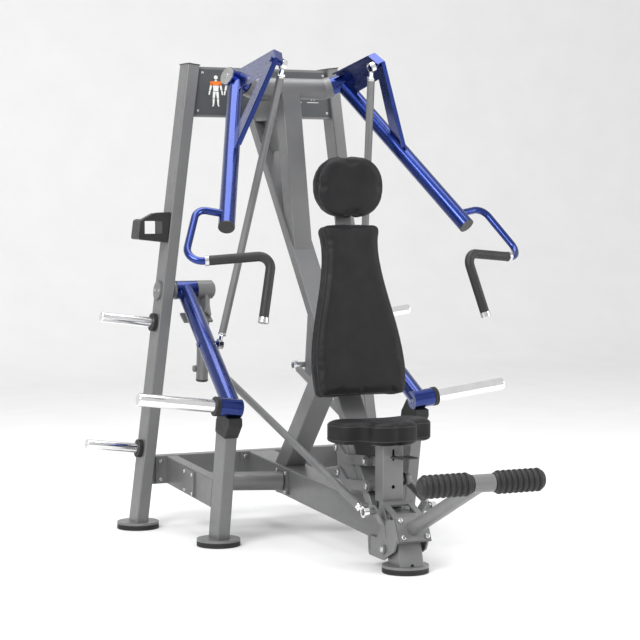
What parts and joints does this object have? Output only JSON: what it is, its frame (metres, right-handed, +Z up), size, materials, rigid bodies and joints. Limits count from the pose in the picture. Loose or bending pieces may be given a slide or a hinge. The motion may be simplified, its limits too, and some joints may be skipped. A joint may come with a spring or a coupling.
{
  "type": "chest press machine",
  "caption": "Plate-loaded chest press with two independent lever arms, loading and storage pegs, reclined back pad, lifting seat and a foot-assist lever.",
  "frame": {"origin": "on the floor, under the middle of the machine's length and width", "axes": "+X to the user's left when seated facing -Y, -Y towards the side the user faces, +Z up"},
  "size_m": [1.5864, 2.022, 1.9341],
  "materials": {
    "grey_paint": "satin powder coat",
    "blue_paint": "gloss metallic",
    "chrome": "polished",
    "black_paint": "satin",
    "rubber": "matt",
    "upholstery": "soft sheen",
    "sign": "satin print",
    "steel": "zinc plated",
    "black_plastic": "matt"
  },
  "bodies": {
    "frame": {"accessory_holder": "black_plastic", "back_pad": "upholstery", "cross_tubes": "grey_paint", "foot_plates": "grey_paint", "foot_rubbers": "rubber", "frame_bolts": "steel", "front_post": "grey_paint", "head_pad": "upholstery", "lower_beam": "grey_paint", "mast_diagonal": "grey_paint", "mast_front": "grey_paint", "mast_rear_leg": "grey_paint", "pad_brackets": "grey_paint", "pivot_axles": "grey_paint", "press_housing": "grey_paint", "seat_bracket": "grey_paint", "side_rails": "grey_paint", "sign_plate": "sign", "spine_rail": "grey_paint", "stop_blocks": "rubber", "stop_posts": "grey_paint", "storage_collars": "rubber", "storage_pegs": "chrome", "top_beam": "grey_paint", "upright_caps": "black_plastic", "uprights": "grey_paint"},
    "press_arm_left_body": {"press_arm_left": "blue_paint", "arm_plug_left": "black_plastic", "grip_left": "rubber", "arm_trim_left": "steel"},
    "weight_arm_left_body": {"weight_arm_left": "blue_paint", "weight_peg_left": "chrome", "weight_collar_left": "rubber"},
    "lift_lever_left_body": {"lift_lever_left": "grey_paint"},
    "tie_rod_left_body": {"tie_rod_left": "grey_paint", "tie_rod_ends_left": "chrome"},
    "foot_rod_left_body": {"foot_rod_left": "grey_paint", "foot_rod_ends_left": "chrome"},
    "roller_left_body": {"roller_left": "rubber"},
    "press_arm_right_body": {"press_arm_right": "blue_paint", "arm_plug_right": "black_plastic", "grip_right": "rubber", "arm_trim_right": "steel"},
    "weight_arm_right_body": {"weight_arm_right": "blue_paint", "weight_peg_right": "chrome", "weight_collar_right": "rubber"},
    "lift_lever_right_body": {"lift_lever_right": "grey_paint"},
    "tie_rod_right_body": {"tie_rod_right": "grey_paint", "tie_rod_ends_right": "chrome"},
    "foot_rod_right_body": {"foot_rod_right": "grey_paint", "foot_rod_ends_right": "chrome"},
    "roller_right_body": {"roller_right": "rubber"},
    "foot_lever_body": {"foot_lever": "grey_paint", "foot_arm": "grey_paint", "foot_arm_bolts": "steel"},
    "seat_link_upper_body": {"seat_link_upper": "grey_paint"},
    "seat_link_lower_body": {"seat_link_lower": "grey_paint"},
    "seat_body": {"seat_post": "grey_paint", "seat_pad": "upholstery"},
    "seat_paddle_body": {"seat_paddle": "black_paint"}
  },
  "joints": [
    {"name": "weight_arm_left_swing", "type": "hinge", "parent": "frame", "child": "weight_arm_left_body", "pos_m": [-0.34, 0.925, 0.981], "axis": [-1, 0, 0], "range_deg": [0, 24]},
    {"name": "press_arm_left_swing", "type": "hinge", "parent": "frame", "child": "press_arm_left_body", "pos_m": [-0.16, 0.64, 1.807], "axis": [-0.9061, -0.28, 0.317], "range_deg": [0, 31.34]},
    {"name": "tie_rod_left_swing", "type": "hinge", "parent": "weight_arm_left_body", "child": "tie_rod_left_body", "pos_m": [-0.315, 0.6021, 0.77631], "axis": [0.986, 0.1539, -0.0634], "range_deg": [0, 17.8]},
    {"name": "lift_lever_left_swing", "type": "hinge", "parent": "frame", "child": "lift_lever_left_body", "pos_m": [-0.2545, 0.925, 0.981], "axis": [-1, 0, 0], "range_deg": [0, 6.58]},
    {"name": "foot_rod_left_swing", "type": "hinge", "parent": "foot_lever_body", "child": "foot_rod_left_body", "pos_m": [-0.138, -0.36, 0.222], "axis": [1, 0, 0], "range_deg": [-15.43, 0]},
    {"name": "roller_left_spin", "type": "hinge", "parent": "foot_lever_body", "child": "roller_left_body", "pos_m": [0, -0.97, 0.398], "axis": [1, 0, 0], "continuous": true},
    {"name": "weight_arm_right_swing", "type": "hinge", "parent": "frame", "child": "weight_arm_right_body", "pos_m": [0.34, 0.925, 0.981], "axis": [-1, 0, 0], "range_deg": [0, 24]},
    {"name": "press_arm_right_swing", "type": "hinge", "parent": "frame", "child": "press_arm_right_body", "pos_m": [0.16, 0.64, 1.807], "axis": [-0.9061, 0.28, -0.317], "range_deg": [0, 31.34]},
    {"name": "tie_rod_right_swing", "type": "hinge", "parent": "weight_arm_right_body", "child": "tie_rod_right_body", "pos_m": [0.315, 0.6021, 0.77631], "axis": [0.986, -0.1539, 0.0634], "range_deg": [0, 17.8]},
    {"name": "lift_lever_right_swing", "type": "hinge", "parent": "frame", "child": "lift_lever_right_body", "pos_m": [0.2545, 0.925, 0.981], "axis": [-1, 0, 0], "range_deg": [0, 6.58]},
    {"name": "foot_rod_right_swing", "type": "hinge", "parent": "foot_lever_body", "child": "foot_rod_right_body", "pos_m": [0.138, -0.36, 0.222], "axis": [1, 0, 0], "range_deg": [-15.43, 0]},
    {"name": "roller_right_spin", "type": "hinge", "parent": "foot_lever_body", "child": "roller_right_body", "pos_m": [0, -0.97, 0.398], "axis": [1, 0, 0], "continuous": true},
    {"name": "foot_lever_swing", "type": "hinge", "parent": "frame", "child": "foot_lever_body", "pos_m": [0, -0.371, 0.082], "axis": [1, 0, 0], "range_deg": [0, 15]},
    {"name": "seat_link_lower_swing", "type": "hinge", "parent": "frame", "child": "seat_link_lower_body", "pos_m": [0, 0.03, 0.315], "axis": [-1, 0, 0], "range_deg": [0, 25]},
    {"name": "seat_link_upper_swing", "type": "hinge", "parent": "frame", "child": "seat_link_upper_body", "pos_m": [0, 0.047, 0.408], "axis": [-1, 0, 0], "range_deg": [0, 25.4]},
    {"name": "seat_level", "type": "hinge", "parent": "seat_link_lower_body", "child": "seat_body", "pos_m": [0, -0.215, 0.293], "axis": [-1, 0, 0], "range_deg": [-25.4, 0]},
    {"name": "seat_paddle_lift", "type": "hinge", "parent": "seat_body", "child": "seat_paddle_body", "pos_m": [0, -0.299, 0.412], "axis": [-1, 0, 0], "range_deg": [0, 10], "stiffness_Nm_per_rad": 2}
  ],
  "couplings": [
    {"joint": "press_arm_left_swing", "follows": "weight_arm_left_swing", "ratio": 1.2891},
    {"joint": "tie_rod_left_swing", "follows": "weight_arm_left_swing", "ratio": 0.72519},
    {"joint": "lift_lever_left_swing", "follows": "foot_lever_swing", "ratio": 0.41207},
    {"joint": "foot_rod_left_swing", "follows": "foot_lever_swing", "ratio": -1.0018},
    {"joint": "press_arm_right_swing", "follows": "weight_arm_right_swing", "ratio": 1.2891},
    {"joint": "tie_rod_right_swing", "follows": "weight_arm_right_swing", "ratio": 0.72519},
    {"joint": "lift_lever_right_swing", "follows": "foot_lever_swing", "ratio": 0.41207},
    {"joint": "foot_rod_right_swing", "follows": "foot_lever_swing", "ratio": -1.0018},
    {"joint": "seat_link_upper_swing", "follows": "seat_link_lower_swing", "ratio": 1},
    {"joint": "seat_level", "follows": "seat_link_lower_swing", "ratio": -1}
  ]
}
